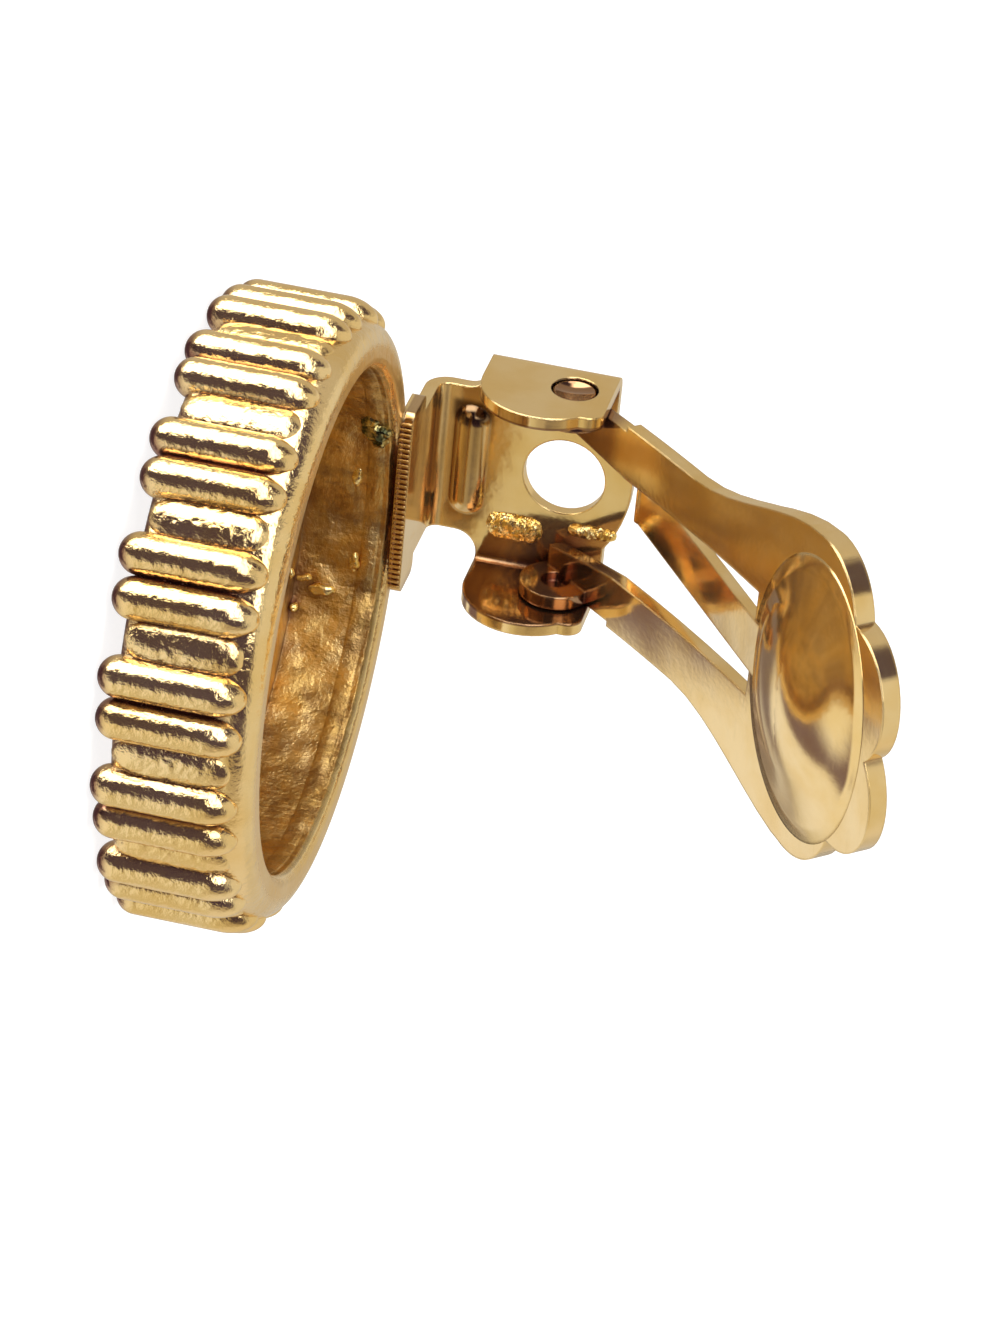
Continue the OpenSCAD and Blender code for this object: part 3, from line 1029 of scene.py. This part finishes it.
@dataclass
class Paddle:
    """The stamped paddle: its finish and the soft forms pressed into its pad."""

    hinge: Vector
    open_angle: float = 41.5
    plate_rise: float = 1.14
    bow_r: float = 65.0
    bow_s: float = 10.0
    boss_h: float = 0.8
    boss_half_x: float = 3.75
    boss_half_s: float = 2.9
    boss_s: float = 12.5
    skin: float = 0.012
    fillet: float = 0.34
    margin: float = 0.30
    margin_x: float = 0.80
    crease_x: float = 2.3
    crease_half: float = 1.3
    crease_depth: float = 0.05

    def place(self, x: float, s: float, z: float) -> Vector:
        """Takes a point from the paddle's own frame to the model's.

        Args:
            x: Place along the hinge axis.
            s: Distance from the hinge along the sheet.
            z: Height over the hinge axis, away from the ear.

        Returns:
            The point in metres.
        """
        turn = Matrix.Rotation(math.radians(self.open_angle), 3, "X")
        return self.hinge + turn @ Vector((x, s, z)) * MM

    def inner_face(self, s: float) -> float:
        """Height of the bowed sheet's inner face."""
        return self.plate_rise - (s - self.bow_s) ** 2 / (2 * self.bow_r)

    def dome(self, x: float, s: float) -> float:
        """Height of the boss over the flat of the pad, negative outside it."""
        curve_s = (self.boss_half_s ** 2 + self.boss_h ** 2) / (2 * self.boss_h)
        curve_x = (self.boss_half_x ** 2 + self.boss_h ** 2) / (2 * self.boss_h)
        ring = curve_s - curve_x + math.sqrt(curve_x ** 2 - x ** 2)
        return math.sqrt(ring ** 2 - (s - self.boss_s) ** 2) - curve_s + self.boss_h

    def creases(self, x: float, s: float) -> float:
        """Depth of the wrinkles drawn into the throat, where the arms run into the boss."""
        along = (s - self.boss_s) / self.boss_half_s
        from_middle = (abs(x) - self.crease_x) / self.crease_half
        fade = max(0.0, min(1.0, (-along - 0.45) / 0.3)) * max(0.0, 1 - from_middle ** 2)
        return self.crease_depth * fade * math.sin(9.0 * abs(x) + 2.0 * along)

    def dress(self, node: bpy.types.Object, finishes: Finishes) -> None:
        """Gives the solid its finish."""
        node.data.materials.clear()
        node.data.materials.append(finishes.sheet)
        LOG.info("paddle: sheet finish")

    def boss_skin(self, finishes: Finishes) -> bpy.types.Object:
        """Makes the surface of the boss, which runs softly into the flat of the pad.

        Args:
            finishes: The materials.

        Returns:
            A thin closed skin over the boss.
        """
        rings, spokes = 64, 192
        half_x = self.boss_half_x + self.margin_x
        half_s = self.boss_half_s + self.margin
        shell = bmesh.new()
        layers = []
        for under in (False, True):
            rows = []
            for i in range(rings + 1):
                share = i / rings
                row = []
                for j in range(spokes if i else 1):
                    turn = 2 * math.pi * j / spokes
                    x = half_x * share * math.cos(turn)
                    s = self.boss_s + half_s * share * math.sin(turn)
                    height = -self.skin if under else self._skin_height(x, s, share)
                    row.append(shell.verts.new(self.place(x, s, self.inner_face(s) - height)))
                rows.append(row)
            layers.append(rows)
        for rows, flip in zip(layers, (False, True)):
            self._weave(shell, rows, spokes, flip)
        top, bottom = layers[0][-1], layers[1][-1]
        for j in range(spokes):
            k = (j + 1) % spokes
            shell.faces.new((top[j], bottom[j], bottom[k], top[k]))
        bmesh.ops.recalc_face_normals(shell, faces=shell.faces)
        for face in shell.faces:
            face.smooth = True
        mesh = bpy.data.meshes.new("boss_skin")
        shell.to_mesh(mesh)
        shell.free()
        return add_piece("boss_skin", mesh, finishes.sheet, Body.PADDLE)

    def _skin_height(self, x: float, s: float, share: float) -> float:
        """Height of the skin over the pad: the dome, with a fillet round its foot."""
        dome = self.dome(x, s) + self.skin
        floor = self.skin * min(1.0, (1 - share) * 12)
        fillet = self.fillet * (1 + 0.5 * abs(x) / self.boss_half_x)
        blend = max(fillet - abs(dome - floor), 0.0) / fillet
        blend *= min(1.0, (1 - share) * 10)
        return max(dome, floor) + blend * blend * fillet / 4 + self.creases(x, s) * (1 - share)

    @staticmethod
    def _weave(shell: bmesh.types.BMesh, rows: list[list], spokes: int, flip: bool) -> None:
        """Fills the rings of one layer with faces."""
        for inner, outer in zip(rows, rows[1:]):
            for j in range(spokes):
                k = (j + 1) % spokes
                corners_of = [inner[0], outer[j], outer[k]] if len(inner) == 1 else [
                    inner[j], outer[j], outer[k], inner[k]
                ]
                shell.faces.new(corners_of[::-1] if flip else corners_of)


@dataclass(frozen=True)
class View:
    """The photograph's point of view, in the model's frame."""

    stand: tuple[float, float, float] = (75.304, 121.068, 31.521)
    look_at: tuple[float, float, float] = (-1.0546, -0.1843, 9.3342)
    roll_degrees: float = 101.0664
    lens: float = 135.3
    sensor: float = 36.0

    def axes(self) -> tuple[Vector, Vector, Vector]:
        """Returns the picture's right, its up and the way towards the camera."""
        towards = (Vector(self.stand) - Vector(self.look_at)).normalized()
        level_right = Vector((0, 0, 1)).cross(towards).normalized()
        level_up = towards.cross(level_right)
        turn = Matrix.Rotation(math.radians(self.roll_degrees), 3, towards)
        return turn @ level_right, turn @ level_up, towards

    def camera(self) -> bpy.types.Object:
        """Makes the scene's camera.

        Returns:
            The camera.
        """
        right, up, towards = self.axes()
        data = bpy.data.cameras.new("camera")
        data.lens = self.lens
        data.sensor_width = self.sensor
        data.clip_start = 0.002
        data.clip_end = 50.0
        camera = bpy.data.objects.new("camera", data)
        turn = Matrix((right, up, towards)).transposed()
        camera.matrix_world = Matrix.Translation(Vector(self.stand) * MM) @ turn.to_4x4()
        bpy.context.scene.collection.objects.link(camera)
        bpy.context.scene.camera = camera
        return camera


@dataclass(frozen=True)
class Studio:
    """Pale floor, an overhead softbox for it and the soft panels that the gold reflects."""

    view: View
    floor_half: float = 3000.0
    paper: tuple[float, ...] = linear(150, 150, 150)
    paper_light: tuple[float, ...] = linear(160, 160, 160)
    paper_glow: float = 0.86
    lamp_size: float = 0.5
    lamp_watts: float = 2.6
    lamp_height: float = 0.6
    key: float = 5.2
    dim: tuple[float, ...] = (0.050, 0.026, 0.062, 1.0)
    window: float = 3.4
    left_end: tuple[float, ...] = (0.17, 0.115, 0.16, 1.0)
    side: tuple[float, ...] = (0.70, 0.66, 0.58, 1.0)
    back: tuple[float, ...] = (0.20, 0.16, 0.18, 1.0)
    back_top: tuple[float, ...] = (0.52, 0.47, 0.40, 1.0)
    back_right: tuple[float, ...] = (0.60, 0.55, 0.47, 1.0)
    table_front: tuple[float, ...] = (0.46, 0.39, 0.28, 1.0)
    table_mid: tuple[float, ...] = (0.62, 0.56, 0.40, 1.0)
    table_far: tuple[float, ...] = (0.74, 0.68, 0.60, 1.0)
    table_left: tuple[float, ...] = (0.88, 0.86, 0.84, 1.0)

    def floor(self) -> bpy.types.Object:
        """Makes the floor that the earring lies on.

        Returns:
            The floor, which the polished metal doesn't mirror.
        """
        half = self.floor_half * MM
        mesh = bpy.data.meshes.new("floor")
        corners = [(-half, -half, 0), (half, -half, 0), (half, half, 0), (-half, half, 0)]
        mesh.from_pydata(corners, [], [(0, 1, 2, 3)])
        material, graph = new_graph("floor_paper")
        tooth = graph.noise(graph.place(), 1.5, 3.0)
        colour = graph.mix(tooth, self.paper, self.paper_light)
        shader = graph.node(
            "ShaderNodeBsdfPrincipled", None,
            {
                "Base Color": colour, "Roughness": 0.9,
                "Emission Color": (1.0, 1.0, 1.0, 1.0), "Emission Strength": self.paper_glow,
            },
        )
        graph.node("ShaderNodeOutputMaterial", None, {0: shader})
        mesh.materials.append(material)
        floor = bpy.data.objects.new("floor", mesh)
        bpy.context.scene.collection.objects.link(floor)
        floor.visible_glossy = False
        return floor

    def overhead(self) -> bpy.types.Object:
        """Hangs the softbox that lights the floor."""
        data = bpy.data.lights.new("overhead", "AREA")
        data.shape = "DISK"
        data.size = self.lamp_size
        data.energy = self.lamp_watts
        light = bpy.data.objects.new("overhead", data)
        light.location = (0, 0, self.lamp_height)
        light.visible_glossy = False
        bpy.context.scene.collection.objects.link(light)
        return light

    def world(self) -> bpy.types.World:
        """Paints the studio round the earring.

        Returns:
            The world, pale to the camera and made of soft panels to the metal.
        """
        world = bpy.data.worlds.new("studio")
        world.use_nodes = True
        graph = Graph(world.node_tree)
        way = graph.node("ShaderNodeTexCoord", None, None, "Generated")
        right, up, towards = self.view.axes()
        along_right = graph.dot(way, right)
        along_up = graph.dot(way, up)
        along_towards = graph.dot(way, towards)
        white = (1.0, 1.0, 1.0, 1.0)
        behind = along_towards.rise(-0.15, -0.55)
        back = graph.mix(along_right.rise(-0.50, -0.30), self.back, self.back_right)
        sky = graph.mix(behind, self.dim, back)
        top = along_towards.rise(0.22, -0.02) * along_up.rise(0.25, 0.5)
        sky = graph.mix(top, sky, self.back_top)
        table = graph.mix(along_towards.rise(-0.10, 0.30), self.table_far, self.table_front)
        table = graph.mix(along_right.rise(-0.20, -0.36), table, self.table_mid)
        table = graph.mix(along_right.rise(-0.34, -0.58), table, self.table_left)
        near = along_towards.rise(0.20, 0.50)
        low = along_up + graph.math("MINIMUM", along_right, 0.0) * 0.9 + near * 0.2
        sky = graph.mix(low.rise(-0.60, -0.75), sky, table)
        beside = along_right.rise(0.42, 0.75) * along_up.rise(0.44, 0.32)
        sky = graph.mix(beside, sky, self.side)
        left = along_right.rise(-0.735, -0.785) * along_towards.rise(-0.05, -0.30)
        sky = graph.mix(left, sky, self.left_end)
        lit = (
            along_up.rise(0.48, 0.60) * along_right.rise(0.42, 0.12)
            * along_towards.rise(-0.02, 0.16)
        )
        sky = graph.mix(lit, sky, (self.key, self.key, self.key * 0.97, 1.0))
        in_window = (
            along_right.rise(0.02, 0.10) * along_right.rise(0.52, 0.44)
            * along_up.rise(-0.25, -0.15) * along_towards.rise(0.50, 0.60)
        )
        sky = graph.mix(in_window, sky, (self.window, self.window, self.window, 1.0))
        seen = graph.node("ShaderNodeLightPath", None, None, "Is Camera Ray")
        shown = graph.mix(seen, sky, white)
        panel = graph.node("ShaderNodeBackground", None, {"Color": shown, "Strength": 1.0})
        graph.node("ShaderNodeOutputWorld", None, {0: panel})
        bpy.context.scene.world = world
        return world


def corners(low: Vector, high: Vector) -> list[list[float]]:
    """Turns a box into plain lists."""
    return [list(low), list(high)]


def main() -> None:
    """Builds the earring's looks and the studio."""
    logging.basicConfig(level=logging.INFO, format="%(name)s %(message)s")
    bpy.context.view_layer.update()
    shape = ButtonShape()
    hinge = Vector(frame["joints"][0]["pos_m"])
    finishes = Finishes(shape, hinge)
    nodes = frame["nodes"]

    button = Button(shape)
    button.dress(nodes["button"], finishes)
    button.foot_teeth(finishes)
    button.valley_crowns(finishes)
    button.rib_tails(finishes)
    button.web_crimps(finishes)
    button.splashes(finishes)
    stone = Stone(shape.axis_y)
    stone.dress(nodes["rhinestone"], finishes)
    stone.foil(finishes)
    paddle = Paddle(hinge)
    paddle.dress(nodes["paddle"], finishes)
    paddle.boss_skin(finishes)

    view = View()
    view.camera()
    studio = Studio(view)
    studio.floor()
    studio.overhead()
    studio.world()
    bpy.context.scene.view_settings.view_transform = "Standard"


if __name__ == "__main__":
    main()
